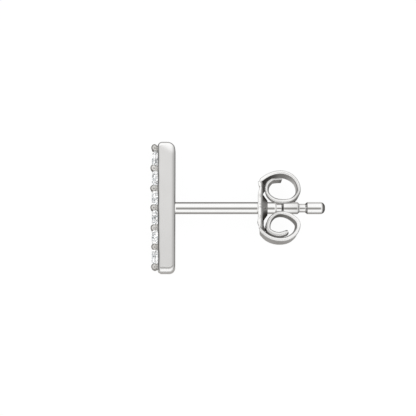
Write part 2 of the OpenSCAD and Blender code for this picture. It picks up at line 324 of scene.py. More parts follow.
def turned(profile, around):
    """Rings about the X axis: each row of the profile is a distance along it and a radius."""
    angle = np.arange(around) * 2 * math.pi / around
    x = np.repeat(profile[:, :1], around, axis=1)
    return np.stack([x, profile[:, 1:] * np.cos(angle), profile[:, 1:] * np.sin(angle)], -1)


# %% The post's surface
POST_R, POST_L, TIP_R = 0.4, 9.98, 0.32
GROOVE_R, MOUTH, FLOOR, GROOVES = 0.285, 0.58, 0.34, (6.93, 8.44)
ROOT, FILLET, LONGER = 0.06, 0.035, 0.06
SHARP, SOFT, SHADE = 0.012, 0.03, 0.01
TIP_DARK, TIP_FROM, TIP_EASE, TIP_MIDDLE, MIDDLE_EASE = 0.93, 0.26, 0.1, 0.1, 0.15
SHOULDERS = [(GROOVES[0] + 0.22, 0.085, 0.3), (GROOVES[1] - 0.24, 0.085, 0.35),
             (GROOVES[1] + 0.23 + LONGER, 0.075, 0.97)]


def groove_corners(x, longer):
    """The four corners of a groove: mouth, floor, floor, mouth. The wall towards the tip is less
    steep than the other, and the turner's tool ran a little longer in the outer groove."""
    return [[x - MOUTH / 2, POST_R], [x - FLOOR / 2, GROOVE_R],
            [x + FLOOR / 2 - 0.03 + longer, GROOVE_R], [x + MOUTH / 2 + 0.01 + longer, POST_R]]


corners = [[-ROOT, POST_R + FILLET], [0, POST_R + FILLET], [FILLET, POST_R],
           *groove_corners(GROOVES[0], 0), *groove_corners(GROOVES[1], LONGER),
           [POST_L - TIP_R, POST_R]]
shaft = eased(corners, [SOFT, SOFT] + [SOFT, SHARP, SHARP, SHARP] * 2)
tip_angle = np.linspace(0, math.pi / 2, 13)[1:]
tip = np.stack([POST_L - TIP_R + TIP_R * np.sin(tip_angle),
                POST_R - TIP_R + TIP_R * np.cos(tip_angle)], -1)
post_points, post_faces = capped_tube(turned(np.concatenate([shaft, tip]), 96))

# Painted shade: dark rings on the groove shoulders and round the tip.
place, half_width, strength = np.array(SHOULDERS).T  # each row is a dark ring
off_shoulder = np.abs(post_points[:, :1] - place)
on_shoulder = np.clip((half_width - off_shoulder) / SHADE, 0, 1) @ strength
from_axis = np.hypot(post_points[:, 1], post_points[:, 2])
at_tip = (np.clip((post_points[:, 0] - POST_L + TIP_FROM) / TIP_EASE, 0, 1)
          * np.clip((from_axis - TIP_MIDDLE) / MIDDLE_EASE, 0.15, 1))
post = make_piece("post", post_points, post_faces, "earring", "silver", "setting",
                  tarnish=on_shoulder + TIP_DARK * at_tip)

# %% [markdown]
# ## The prongs
#
# Between the stones stand pairs of short wires whose ends were burred into balls and pushed over
# the girdles. Each one is turned like the post, from a flared foot to a ball. Where a ball would
# run into a stone, its points are moved out from the stone's axis to the stone's surface, which
# gives the flat that a setter's tool leaves. The balls differ a little, as hand-set ones do, and
# each row leans its own way: by so many millimetres backwards and up, listed from the lowest row.

# %% The prongs' surfaces
BALL_R, NECK_R, PROUD, SPREAD, FOOT_DEPTH, FOOT_FLARE = 0.235, 0.185, 0.45, 0.72, 0.08, 0.04
ROW_LEANS = [(.04, -.01), (.03, 0), (-.015, -.055), (-.04, 0), (-.05, -.01), (-.04, .045),
             (.015, .08)]
LEAN_FULL_AT = 0.2
GIRDLE_T, CROWN_H, TABLE_SHARE, CLOSE = 0.03, 0.16, 0.56, 0.012
neck_angle = math.asin(NECK_R / BALL_R)
ball_angle = np.linspace(math.pi - neck_angle, 0, 18)[1:-1]
ball = np.stack([PROUD - BALL_R + BALL_R * np.cos(ball_angle), BALL_R * np.sin(ball_angle)], -1)
neck_end = PROUD - BALL_R - BALL_R * math.cos(neck_angle)
foot = eased([[-FOOT_DEPTH, NECK_R + FOOT_FLARE], [0, NECK_R + FOOT_FLARE], [0.03, NECK_R],
              [neck_end, NECK_R]], [0.02, 0.02])
prong_points, prong_faces = capped_tube(
    turned(np.concatenate([foot, ball]), 32),
    first=np.array([-FOOT_DEPTH, 0, 0]), last=np.array([PROUD, 0, 0]))

spread = np.random.default_rng(6)
row_y = (np.arange(STONES + 1) - STONES / 2) * STONE_PITCH
rows, sides = np.meshgrid(row_y, [-1, 1], indexing="ij")
count = rows.size
fat = 1 + spread.uniform(-0.05, 0.05, count)
prongs = np.repeat(prong_points[None], count, axis=0)
prongs[..., 1:] *= fat[:, None, None]
prongs[..., 0] = -BAR_DEPTH - prongs[..., 0] * (1 + spread.uniform(-0.02, 0.01, count))[:, None]
prongs[..., 1] += (rows.ravel() + spread.uniform(-0.012, 0.012, count))[:, None]
prongs[..., 2] += (sides.ravel() * SPREAD / 2)[:, None]
leaned = np.clip(prong_points[:, :1] / LEAN_FULL_AT, 0, 1)
prongs[..., :2] += np.repeat(ROW_LEANS, 2, axis=0)[:, None] * leaned


def pushed_clear(points, y0):
    """Points inside a stone's shape, a cone below and one above its girdle, moved out from its
    axis."""
    height = -points[..., 0] - BAR_DEPTH - STONE_LIFT
    below = STONE_R + CLOSE + np.minimum(height, 0) / PAVILION_SLOPE
    crown_slope = STONE_R * (1 - TABLE_SHARE) / CROWN_H
    above = STONE_R + CLOSE - np.maximum(height - GIRDLE_T, 0) * crown_slope
    limit = np.where(height < GIRDLE_T + CROWN_H, np.maximum(np.minimum(below, above), 0), 0)
    dy, dz = points[..., 1] - y0, points[..., 2]
    from_axis = np.maximum(np.hypot(dy, dz), 1e-9)
    grown = np.maximum(from_axis, limit) / from_axis
    return np.stack([points[..., 0], y0 + dy * grown, dz * grown], -1)


for y0 in stone_y:
    prongs = pushed_clear(prongs, y0)
prongs = make_piece("prongs", *several(count, prongs, prong_faces), "earring", "silver", "setting")

# %% [markdown]
# ## The wings of the clutch
#
# The clutch is one strip of sheet. Its middle is the plate, and each end is rolled into a curl that
# presses on the post. The path of a curl is a chain of bends, each with its radius and the degrees
# that it turns, so it is drawn as such a chain. A real clutch is bent by a quick press and never
# follows its drawing quite, so small listed moves are added to the line.
#
# The sheet's section, a flat with tumbled edges, is carried along the path and narrows towards the
# tail. On the way it changes as bent sheet does: it bulges inwards along its middle, its far edge
# flares, and tight bends upset it to a greater thickness. Near the plate it leans with the plate.
# Where it meets the post it is pressed into a channel that clears the post over the clutch's whole
# travel. Tumbling makes the edges satin. Shade is painted dark on the faces inside the curls and in
# thin lines along the edges.

# %% The chain of bends
CURL_R, SHEET_T, BORE_R, SMOOTH = 1.17, 0.235, 0.44, 6
UPPER_OUT = [[1.8, 12], [0.65, 78], [1, 90], [1.71, 40], [0.13, 50]]
UPPER_IN = [[1.8, 10], [0.79, 80], [0.47, 35], [0.34, 59]]
LOWER_OUT = [[1.24, 45], [0.34, 45], [0.75, 50], [1.11, 40], [1.61, 45], [0.13, 45]]
LOWER_IN = [[0.8, 90], [0.26, 45], [0.77, 45], [0.77, 22]]


def bends(table, heading, side):
    """Headings and places along a chain of bends from the origin. Over a small turn at radius r the
    place moves by r times the change of (sine, minus cosine) of the heading."""
    radius, turn = (np.array(table) * [CURL_R, math.pi / 180]).T
    steps = np.ceil(turn / math.radians(2.5)).astype(int)
    r, step = np.repeat(radius, steps), np.repeat(turn / steps, steps)
    h = heading + side * np.concatenate([[0], np.cumsum(step)])
    moves = side * r[:, None] * np.stack([np.diff(np.sin(h)), -np.diff(np.cos(h))], -1)
    return h, np.concatenate([[[0, 0]], np.cumsum(moves, axis=0)])


def lengthwise(place):
    """The share of a line's length at each of its places."""
    run = np.concatenate([[0], np.cumsum(np.linalg.norm(np.diff(place, axis=0), axis=1))])
    return run / run[-1]


def hand_bent(place, nudges):
    """A line moved by listed nudges: each nudge (share of the length, right, out) in mm moves it there,
    where out is away from the post. Between the nudges the moves are interpolated, and a running mean
    over two times SMOOTH and one places keeps the curve smooth."""
    run = lengthwise(place)
    share, right, out = np.array(nudges).T
    shift = np.stack([np.interp(run, share, right), np.interp(run, share, out)], -1)
    padded = np.pad(shift, [(SMOOTH, SMOOTH), (0, 0)], "edge")
    window = 2 * SMOOTH + 1
    return place + sum(padded[k:k + len(shift)] for k in range(window)) / window


def curl_path(outward, inward, tail, root):
    """The strip's middle line from inside the plate to the tail, with its foot at the origin."""
    out_h, out_p = bends(outward, 0, 1)
    in_h, in_p = bends(inward, math.pi, -1)
    h = np.concatenate([out_h[::-1] + math.pi, in_h[1:]])
    p = np.concatenate([out_p[::-1], in_p[1:]])
    ahead = np.array([math.cos(h[-1]), math.sin(h[-1])])
    behind = np.array([math.cos(h[0]), math.sin(h[0])])
    run = np.linspace(0, tail * CURL_R, 6)[1:, None]
    return np.concatenate([p[:1] - root * behind, p, p[-1] + run * ahead])


# %% The sheet's section, carried along the path
EDGE_R, CHANNEL_T, CHANNEL_EASE, ACROSS, ARC = 0.14, 0.1, 0.02, 36, 9
ROOT_W, TAIL_W, PLATE_W, END_ROUND, TAIL_EASE, ROOT_END = 2.7, 1.5, 3.3, 0.07, 0.1, 0.12


def section_outline():
    """A rounded rectangle as shares: (thickness share, width share, rounding along thickness,
    rounding along width). A place is share x (half size - rounding) + rounding part."""
    t = np.linspace(0, math.pi / 2, ARC + 1)
    wide = np.linspace(1, -1, ACROSS + 1)[1:-1]
    half = np.concatenate([
        np.stack([np.ones(ARC + 1), np.ones(ARC + 1), np.sin(t), np.cos(t)], -1),
        np.stack([np.ones_like(wide), wide, np.ones_like(wide), 0 * wide], -1),
        np.stack([np.ones(ARC + 1), -np.ones(ARC + 1), np.cos(t), -np.sin(t)], -1)])
    return np.concatenate([half, half * -1])


OUTLINE = section_outline()


def swept_sheet(place, formed, tail_t, tail_from, foot, up, lean):
    """Rings of the sheet's section along a path, at right angles to it, with the share of the way
    and each point's distances below the inner and the outer face.

    The strip narrows as the share to the power 0.7, starts thinner inside the plate, and from a
    share on its tail has a thickness of its own. The end is rounded by rings that step on by a sine
    and shrink by a cosine. The form table gives, at shares of the way: a rib that stands inwards
    along the middle as a parabola across the width, a flare that turns the far edge inwards evenly,
    and a thickening of the inner side. The root leans with the plate, less and less up to
    ROOT_END. Points near the post are lifted onto the channel: the height is the smooth maximum of
    the sheet's own and the circle's."""
    ahead = np.gradient(place, axis=0)
    end = np.linspace(0, math.pi / 2, 5)[1:-1]
    run = np.concatenate([lengthwise(place), np.ones(len(end))])[:, None]
    last = ahead[-1] / np.linalg.norm(ahead[-1])
    inset = np.concatenate([np.zeros(len(place)), END_ROUND * (1 - np.cos(end))])[:, None]
    place = np.concatenate([place, place[-1] + END_ROUND * np.sin(end)[:, None] * last])
    heading = np.arctan2(ahead[:, 1], ahead[:, 0])
    heading = np.concatenate([heading, np.full(len(end), heading[-1])])[:, None]

    half_w = (ROOT_W + (TAIL_W - ROOT_W) * run ** 0.7) / 2 - inset
    late = np.clip((run - tail_from) / TAIL_EASE, 0, 1)
    half_t = (SHEET_T + (tail_t - SHEET_T) * late * late * (3 - 2 * late)) / 2 - inset
    half_t = half_t * np.clip(0.4 + run / 0.05, 0, 1)
    r = np.minimum(EDGE_R, half_t * 0.9)
    a = OUTLINE[:, 0] * (half_t - r) + OUTLINE[:, 2] * r
    z = OUTLINE[:, 1] * (half_w - r) + OUTLINE[:, 3] * r
    below_inner, below_outer = a + half_t, half_t - a

    at, *forms = np.array(formed).T
    rib, flare, thick = (np.interp(run, at, form) for form in forms)
    a = a - rib * (1 - (z / half_w) ** 2) - flare * (1 - z / half_w) / 2
    a = a - thick * (half_t - a) / (2 * half_t)
    leaned = lean * (PLATE_W / 2 - z) * np.clip(1 - run / ROOT_END, 0, 1)
    x = foot[0] + place[:, :1] - a * np.sin(heading) + leaned
    y = foot[1] + place[:, 1:] + a * np.cos(heading)

    clear = BORE_R + CHANNEL_T * (1 + np.sign(a * np.cos(heading))) / 2
    circle = np.sqrt(np.maximum(clear ** 2 - z ** 2, 0))
    gap = y - circle
    y = y + (np.sqrt(gap ** 2 + CHANNEL_EASE ** 2) - gap) / 2 * (circle > 0)
    return np.stack([x, y * up, z], -1), run, below_inner, below_outer


# %% How the curls were bent, nudge by nudge
UPPER_NUDGES = [
    (0, -.02, 0), (.03, 0, -.02), (.07, 0, -.06), (.1, -.007, -.05), (.142, -.007, 0),
    (.21, -.007, .02), (.25, .013, .013), (.31, .017, .033), (.36, .037, .027), (.406, .057, .027),
    (.432, .067, .016), (.455, .045, .01), (.475, .02, .005), (.548, -.005, 0), (.6, .045, .015),
    (.636, .085, .02), (.681, .085, .02), (.711, .07, .02), (.746, .053, .03), (.782, .06, .005),
    (.817, .06, -.05), (.833, .06, -.075), (.866, .04, -.075), (.881, .01, -.04),
    (.918, .013, .05), (.926, .03, .12), (.96, .033, .15), (1, .02, .165)]
LOWER_NUDGES = [
    (0, -.013, 0), (.03, .007, .027), (.062, -.007, .02), (.093, -.005, .045), (.135, -.017, .065),
    (.177, -.023, .055), (.219, -.015, .045), (.255, -.007, .06), (.298, -.01, .08),
    (.339, .002, .05), (.383, .007, .03), (.432, .02, .015), (.454, .01, 0), (.48, .012, -.012),
    (.528, .025, -.035), (.568, .02, -.06), (.609, .007, -.073), (.638, -.007, -.06),
    (.674, 0, -.027), (.731, .02, -.027), (.757, .035, -.03), (.778, .05, -.03), (.804, .07, -.03),
    (.831, .06, -.04), (.875, .03, -.085), (.939, .007, -.065), (.975, .02, -.053),
    (1, .06, -.067)]

# %% The sheet's form: share of the way, rib, flare and thickening in millimetres
UPPER_FORM = [
    (0, 0, 0, 0), (.28, 0, 0, 0), (.36, 0, -.05, 0), (.43, 0, -.02, .03), (.5, 0, 0, .05),
    (.6, 0, .05, .06), (.68, 0, .12, .06), (.8, .03, .12, 0), (.9, .08, .03, 0), (1, 0, 0, 0)]
LOWER_FORM = [
    (0, 0, 0, 0), (.1, 0, -.01, 0), (.2, 0, -.035, .02), (.3, 0, -.03, .07), (.38, 0, 0, .08),
    (.46, .03, 0, .03), (.6, 0, 0, 0), (.7, .06, 0, -.02), (.8, .06, 0, -.01), (.9, .03, 0, 0),
    (1, 0, 0, 0)]

print("moved by up to", max(max(map(abs, nudge[1:])) for nudge in UPPER_NUDGES + LOWER_NUDGES), "mm")

# %% Painted shade of the curls
# At shares of the way, for the inner and then for the outer side: the painted shade of the face, and
# the width of the painted dark line along its edges.
UPPER_DARK = [
    (0, 1, .02, 0, .035), (.11, 1, .02, 0, .035), (.2, .2, .01, 0, .035), (.26, .1, .01, 0, .035),
    (.33, 0, .02, 0, .05), (.4, 0, .05, 0, .06), (.45, .1, .09, .7, .07), (.5, .2, .07, .9, .08),
    (.56, 0, .03, .9, .08), (.62, 0, .03, .4, .07), (.68, .2, .05, 0, .05), (.8, .3, .05, 0, .04),
    (.86, .2, .05, .6, .08), (.92, 0, .03, .5, .06), (.98, .1, .03, .4, .06),
    (1, .5, .05, .3, .05)]
LOWER_DARK = [
    (0, .8, .06, 0, .03), (.12, .8, .05, .08, .03), (.2, .7, .05, .2, .03),
    (.3, .4, .06, .1, .045), (.4, .3, .08, 0, .05), (.45, .2, .02, 0, .03), (.58, .25, 0, .1, .05),
    (.66, .6, .05, .5, .07), (.7, .6, .05, .85, .05), (.78, .5, .04, 1, 0), (.88, .4, .04, .9, 0),
    (.98, .3, .05, .7, .02), (1, .6, .1, .9, .1)]
LINE_FADE, INNER_LINE, LEAST_OUTER, ENDS_DARK = 0.04, 0.8, 0.55, [0.2, 0.8]


def line_share(width, below):
    """How dark an edge line is at a distance below its face: it fades over LINE_FADE."""
    return np.clip((width - below) / LINE_FADE + 0.5, 0, 1)


def curl(name, outward, inward, nudges, formed, dark, tail, **form):
    """One wing of the clutch, rolled from its chain of bends and corrected by the listed nudges. A face
    has the painted shade of its side. An edge has the darker of its two painted lines: the inner one
    is INNER_LINE dark, the outer one as dark as the outer face and at least LEAST_OUTER."""
    place = hand_bent(curl_path(outward, inward, tail, root=0.12), nudges)
    rings, run, below_inner, below_outer = swept_sheet(place, formed, **form)
    at, *tables = np.array(dark).T
    inner, inner_line, outer, outer_line = [np.interp(run, at, table) for table in tables]
    on_face = OUTLINE[:, 3] == 0
    face = np.where(OUTLINE[:, 0] < 0, inner, outer)
    edge = np.maximum(INNER_LINE * line_share(inner_line, below_inner),
                      np.maximum(outer, LEAST_OUTER) * line_share(outer_line, below_outer))
    # Faces and edges are darkened here by painted shade.
    tarnish = np.where(on_face, face, edge)
    satin = np.broadcast_to(~on_face, tarnish.shape)
    return make_piece(name, *capped_tube(rings), "clutch_back", "clutch_silver", "clutch",
                      tarnish=np.concatenate([tarnish.ravel(), ENDS_DARK]),
                      satin=np.concatenate([satin.ravel(), [0, 0]]))


# %% Both curls
upper_curl = curl("upper_curl", UPPER_OUT, UPPER_IN, UPPER_NUDGES, UPPER_FORM, UPPER_DARK,
                  tail=0.5, tail_t=0.13, tail_from=0.875, foot=(7.10773, 0.3), up=1, lean=0.12)
lower_curl = curl("lower_curl", LOWER_OUT, LOWER_IN, LOWER_NUDGES, LOWER_FORM, LOWER_DARK,
                  tail=0.21, tail_t=0.29, tail_from=0.66, foot=(7.02, 0.47), up=-1, lean=0.05)

# %% [markdown]
# ### What lies between the curls
#
# In a light tent the post mirrors only the tent's roof. Rendered curls would also be mirrored in it
# as two strong dark bands, because they stand much nearer to it than the roof does. So the curls
# are left out of mirrored rays: only their mirror images go, they themselves look as before.

# %% Curls that the post doesn't mirror
upper_curl.visible_glossy = lower_curl.visible_glossy = False

# %% [markdown]
# ## The plate of the clutch
#
# The plate has four lobes and a hole for the post, with a cone pressed up round it. A sheet with a
# hole is a ring, so it is worked out in rings round the post: out over the front, round the rim,
# back over the other side and round the hole's lip. The outline is given as a distance from the
# post in each direction, the furthest of a rectangle and four circles. Stamping leaves the plate
# slightly wavy, which shows on its edge, and rolling the curls bends its far lobes back, most near
# the roots of the curls. The rear face lies in the shade of the curls, and that shade is painted
# dark on it.

# %% The plate's outline
PLATE_X, PLATE_TOP, PLATE_BOTTOM, LOBE_R, LOBE_PITCH = 5.51, 1.67531, 1.49298, 0.75, 1.4
CONE_BASE_R, CONE_LIP_R, CONE_H, CREASE, CREASE_W = 1.0, 0.5, 0.38, 0.03, 0.1
EDGE, MORE_IN_FRONT, MORE_BEHIND, AROUND, SMOOTHED = 0.06, 0.03, 0.02, 240, 2
PLATE_LEAN, LEAN_AT = 0.065, [-1.3, -1.0, 0.85, 1.1, 1.25, 1.4]
LEAN_SHARE = [1.7, 1.0, 1.0, 0.7, 1.3, 2.1]
WAVES = [(0.085, 1.2, 0.22), (-0.05, -1.02, 0.16), (0.05, -1.36, 0.14)]


def plate_reach(angle):
    """Distance from the post to the plate's outline, towards an angle from Y to Z."""
    c, s = np.cos(angle), np.sin(angle)
    long_side = np.where(c > 0, PLATE_TOP, PLATE_BOTTOM) / np.maximum(np.abs(c), 1e-6)
    reach = np.minimum(long_side, ROOT_W / 2 / np.maximum(np.abs(s), 1e-6))
    mid = (PLATE_TOP - PLATE_BOTTOM) / 2
    for y in (mid - LOBE_PITCH / 2, mid + LOBE_PITCH / 2):
        for z in (LOBE_R - PLATE_W / 2, PLATE_W / 2 - LOBE_R):
            near = y * c + z * s
            inside = LOBE_R ** 2 - y ** 2 - z ** 2 + near ** 2
            reach = np.maximum(reach, np.where(inside > 0, near + np.sqrt(np.maximum(inside, 0)), 0))
    return reach


def plate_wave(y):
    """How far the plate's front stands back: a bell curve for each wave (height, y, width)."""
    return sum(height * np.exp(-((y - at) / wide) ** 2) for height, at, wide in WAVES)


# %% The plate's surface
angle = np.arange(AROUND) * 2 * math.pi / AROUND
reach = plate_reach(angle)
reach = sum(np.roll(reach, k) for k in range(-SMOOTHED, SMOOTHED + 1)) / (2 * SMOOTHED + 1)
share = np.concatenate([np.linspace(0, 1, 11)[:-1] * 0.5, 0.5 + np.linspace(0, 1, 15) * 0.5])
out = np.where(share < 0.5, 0, share * 2 - 1)
up = np.where(share < 0.5, share * 2, 1)


def plate_side(offset, edge):
    """One side of the plate in rings from the lip outwards: over the cone, then to the outline. The
    rear has a crease round the cone. The lean grows as the square of the distance from the near
    edge, and towards the roots of the curls by a share."""
    lip_r = BORE_R + edge
    cone = lip_r + up[:, None] * (CONE_BASE_R - lip_r)
    radius = cone + out[:, None] * (reach - edge - CONE_BASE_R)
    rise = CONE_H * np.clip((CONE_BASE_R - radius) / (CONE_BASE_R - CONE_LIP_R), 0, 1)
    crease = CREASE * np.exp(-((radius - CONE_BASE_R) / CREASE_W) ** 2)
    rise = rise - crease * (offset > 0)
    y, z = radius * np.cos(angle), radius * np.sin(angle)
    x = PLATE_X + SHEET_T / 2 + offset + rise + (plate_wave(y) if offset < 0 else 0 * y)
    lean = PLATE_LEAN * np.clip((radius - 0.7) / 0.35, 0, 1) * np.interp(y, LEAN_AT, LEAN_SHARE)
    return np.stack([x + lean * (PLATE_W / 2 - z) ** 2 / PLATE_W, y, z], -1)


front = plate_side(-SHEET_T / 2 - MORE_IN_FRONT, EDGE)
rear = plate_side(SHEET_T / 2 + MORE_BEHIND, EDGE)
turn = np.linspace(0, math.pi, 7)[1:-1, None]


def rolled(a, b, outward):
    """Rings that carry one side's last ring round to the other side's, bulging by EDGE."""
    middle, half = (a + b) / 2, (a - b) / 2
    bulge = np.stack([0 * angle, np.cos(angle), np.sin(angle)], -1) * EDGE * outward
    return np.stack([middle + half * math.cos(t) + bulge * math.sin(t) for t in turn[:, 0]])


plate_rings = np.concatenate([front, rolled(front[-1], rear[-1], 1), rear[::-1],
                              rolled(rear[0], front[0], -1)])

# %% The plate's marks: painted shade on its rear, darker beside the cone, and its satin rim
REAR_DARK, CONE_DARK, ASIDE_DARK, EDGE_LINE = 0.75, 0.72, 0.2, 0.05
from_post = np.hypot(plate_rings[..., 1], plate_rings[..., 2])
aside = np.clip((np.abs(plate_rings[..., 1]) - 0.25) / 0.2, 0, 1)
row = np.arange(len(plate_rings))[:, None]
on_rim = (row >= len(front)) & (row < len(front) + len(turn))
behind = (row >= len(front) + len(turn) // 2 + 1) & (row < len(plate_rings) - len(turn))
cone_dark = CONE_DARK + ASIDE_DARK * aside
# Painted shade on the rear, for the shade of the curls.
plate_tarnish = behind * np.where(from_post < CONE_BASE_R + EDGE_LINE, cone_dark, REAR_DARK)
plate_satin = on_rim & (from_post > 0)
plate = make_piece("clutch_plate", plate_rings.reshape(-1, 3),
                   [joined_rings(len(plate_rings), len(angle), closed=True)],
                   "clutch_back", "clutch_silver", "clutch", tarnish=plate_tarnish, satin=plate_satin)

# %% [markdown]
# ## Metal finishes
#
# All the metal is white and polished, so it mostly shows its surroundings. What tells it from a
# mirror is small: a faint change of tone where the plating is thicker, haze left by the polishing
# mop, and a surface that is never quite flat. All three come from noise in Object coordinates, so
# they stay on the piece from every side. The clutch is tumbled instead of mopped, so it has more
# of each.
#
# Two marks of the meshes add the rest. Painted shade is a darker colour that stands for shade and
# dark reflections, and it takes the bright rim from the metal as well. Satin, the finish of tumbled
# edges, scatters a part of the light, so those edges stay pale even where they would mirror
# something dark.

# %% Nodes of a finish
def feed(tree, node, given):
    """Sockets of a node get a number, a colour as a tuple, or what another socket gives."""
    for name, value in given.items():
        if isinstance(value, bpy.types.NodeSocket):
            tree.links.new(value, node.inputs[name])
        else:
            node.inputs[name].default_value = (*value, 1) if isinstance(value, tuple) else value


def made(tree, kind, given=None, out=0, **settings):
    """A new node with its settings, fed. Gives one of its sockets."""
    node = tree.nodes.new("ShaderNode" + kind)
    for name, value in settings.items():
        setattr(node, name, value)
    feed(tree, node, given or {})
    return node.outputs[out]


def ramp(tree, value, *stops):
    """A colour that follows a value from 0 to 1 through stops of (value, colour)."""
    node = tree.nodes.new("ShaderNodeValToRGB")
    elements = node.color_ramp.elements
    while len(elements) < len(stops):
        elements.new(0.5)
    for element, (place, colour) in zip(elements, stops):
        element.position, element.color = place, (*colour, 1)
    feed(tree, node, {"Fac": value})
    return node.outputs["Color"]


def carried(tree, value, low, high, to=(0.0, 1.0)):
    """A value carried evenly from one range to another, and held at its ends."""
    return made(tree, "MapRange", {"Value": value, "From Min": low, "From Max": high,
                                   "To Min": to[0], "To Max": to[1]}, "Result")


def reckoned(tree, operation, *values):
    """What a sum or the like makes of its values."""
    return made(tree, "Math", dict(enumerate(values)), operation=operation)


def faded(tree, factor, a, b):
    """A colour that fades from one to another."""
    return made(tree, "Mix", {"Factor": factor, "A": a, "B": b}, "Result", data_type="RGBA")


def noise(tree, coords, per_mm, detail=2.0):
    """A noise pattern with so many features to the millimetre, in Object coordinates."""
    return made(tree, "TexNoise", {"Vector": coords, "Scale": per_mm / MM, "Detail": detail}, "Fac")


def hazy(tree, coords, per_mm, detail, rough):
    """Roughness from noise, which mostly keeps between 0.3 and 0.7, carried to a range."""
    return carried(tree, noise(tree, coords, per_mm, detail), 0.3, 0.7, rough)


def dented(tree, height, strength, depth_mm):
    """Normals with small dents, from a pattern of heights."""
    return made(tree, "Bump", {"Strength": strength, "Distance": depth_mm * MM, "Height": height},
                "Normal")


def new_material(name):
    """A material with its node tree, shader and the piece's Object coordinates."""
    material = bpy.data.materials.new(name)
    material.use_nodes = True
    tree = material.node_tree
    return material, tree, tree.nodes["Principled BSDF"], made(tree, "TexCoord", out="Object")


# %% One recipe for polished metal
# The first two tones are painted shade: the darker colour and the dull rim where the mark is.
PAINTED_SHADE_TONE, PAINTED_SHADE_RIM, SCATTERED, WHITE = (0.075, 0.072, 0.068), (0.25, 0.24, 0.23), 0.6, (1, 1, 1)


def polished_metal(name, dark, light, haze, dents):
    """White metal: tone, haze and dents from noise of three sizes, and painted shade where it is
    marked: a darker colour and a dull rim. Satin scatters a share of the light: metallic is one less
    that share of the satin."""
    material, tree, shader, coords = new_material(name)
    # The second mark paints shade: it darkens the colour and dulls the rim.
    satin, tarnish = (made(tree, "Attribute", out="Fac", attribute_name=mark)
                      for mark in ("satin", "tarnish"))
    plating = ramp(tree, noise(tree, coords, 0.6), (0.3, dark), (0.7, light))
    feed(tree, shader, {
        "Metallic": reckoned(tree, "MULTIPLY_ADD", satin, -SCATTERED, 1.0),
        "Base Color": faded(tree, tarnish, plating, PAINTED_SHADE_TONE),
        "Specular Tint": faded(tree, tarnish, WHITE, PAINTED_SHADE_RIM),
        "Roughness": hazy(tree, coords, 2.5, 4, haze),
        "Normal": dented(tree, noise(tree, coords, 1.8, 3), dents, 0.004)})
    return material


SILVER = (0.84, 0.837, 0.83), (0.87, 0.867, 0.86)
bar_finish = polished_metal("mopped silver", *SILVER, haze=(0.08, 0.13), dents=0.2)
post_finish = polished_metal("drawn silver", *SILVER, haze=(0.07, 0.12), dents=0.2)
# The balls get a darker copy of the silver: painted shade for the grey that the small balls show.
ball_finish = polished_metal("silver shaded darker", (0.5, 0.49, 0.47), (0.64, 0.63, 0.61),
                             haze=(0.12, 0.18), dents=0.5)
sheet_finish = polished_metal("tumbled silver", (0.88, 0.875, 0.865), (0.93, 0.925, 0.915),
                              haze=(0.13, 0.2), dents=0.25)
for piece, finish in [(bar, bar_finish), (post, post_finish), (prongs, ball_finish),
                      (upper_curl, sheet_finish), (lower_curl, sheet_finish), (plate, sheet_finish)]:
    piece.data.materials.append(finish)
    print(piece.name, "is finished in", finish.name)

# %% [markdown]
# ## Cut stones
#
# The stones are already cut in the frame: a table, a crown, a girdle and a pavilion of flat facets.
# So they stay as they are and only get their glass, with a high bend of light, polished facets and
# a tiny haze for dust and wear. A brilliant shows a mosaic of light and dark flashes, in which each
# facet is seen through the others many times over. Most of them are smaller than a tenth of a
# millimetre. So a pattern of small cells paints the flashes: dark cells are painted dark
# reflections in the glass's tint, and bright cells get a painted glow for the light they gather.

# %% Clear stone
# Painted flashes: dark tints stand for dark reflections, and the emission is a painted glow.
FLASHES_PER_MM, PAINTED_GLOW, STEP_W = 12.0, 0.41, 0.05
DARK_FLASH_STEP, GLOW_STEP = (0.42, (0.055, 0.07, 0.08)), (0.57, (0.12, 0.12, 0.12))


def stepped(tree, value, step, low):
    """A colour that changes from a tone to white at a step of the value."""
    return ramp(tree, value, (step - STEP_W, low), (step + STEP_W, WHITE))


def clear_stone():
    """Glass with the bend of light of cubic zirconia, and flashes as cells with two chance values
    each: one for the tint, painted dark reflections, one for a painted glow."""
    material, tree, shader, coords = new_material("clear stone")
    cells = made(tree, "TexVoronoi", {"Vector": coords, "Scale": FLASHES_PER_MM / MM}, "Color")
    one, other = (made(tree, "SeparateColor", {"Color": cells}, out) for out in ("Red", "Green"))
    feed(tree, shader, {
        "Transmission Weight": 1.0, "IOR": 2.0,
        "Base Color": stepped(tree, one, *DARK_FLASH_STEP),
        "Emission Color": stepped(tree, other, *GLOW_STEP), "Emission Strength": PAINTED_GLOW,
        "Roughness": hazy(tree, coords, 3.0, 2.0, (0.0, 0.03)),
        "Normal": dented(tree, noise(tree, coords, 4.0), 0.05, 0.002)})
    return material


stone_finish = clear_stone()
for k in range(1, STONES + 1):
    stone = frame["nodes"][f"stone_{k}"]
    stone.data.materials.clear()
    stone.data.materials.append(stone_finish)
print("stones finished:", STONES)

# %% [markdown]
# ## Camera
#
# The camera looks along the width of the earring, at right angles to the post, from a little
# towards the bar's lower end, so that the undersides of the curls show. A lens at 95 mm gives the
# slight perspective of a close view. It is placed in the earring's own axes.

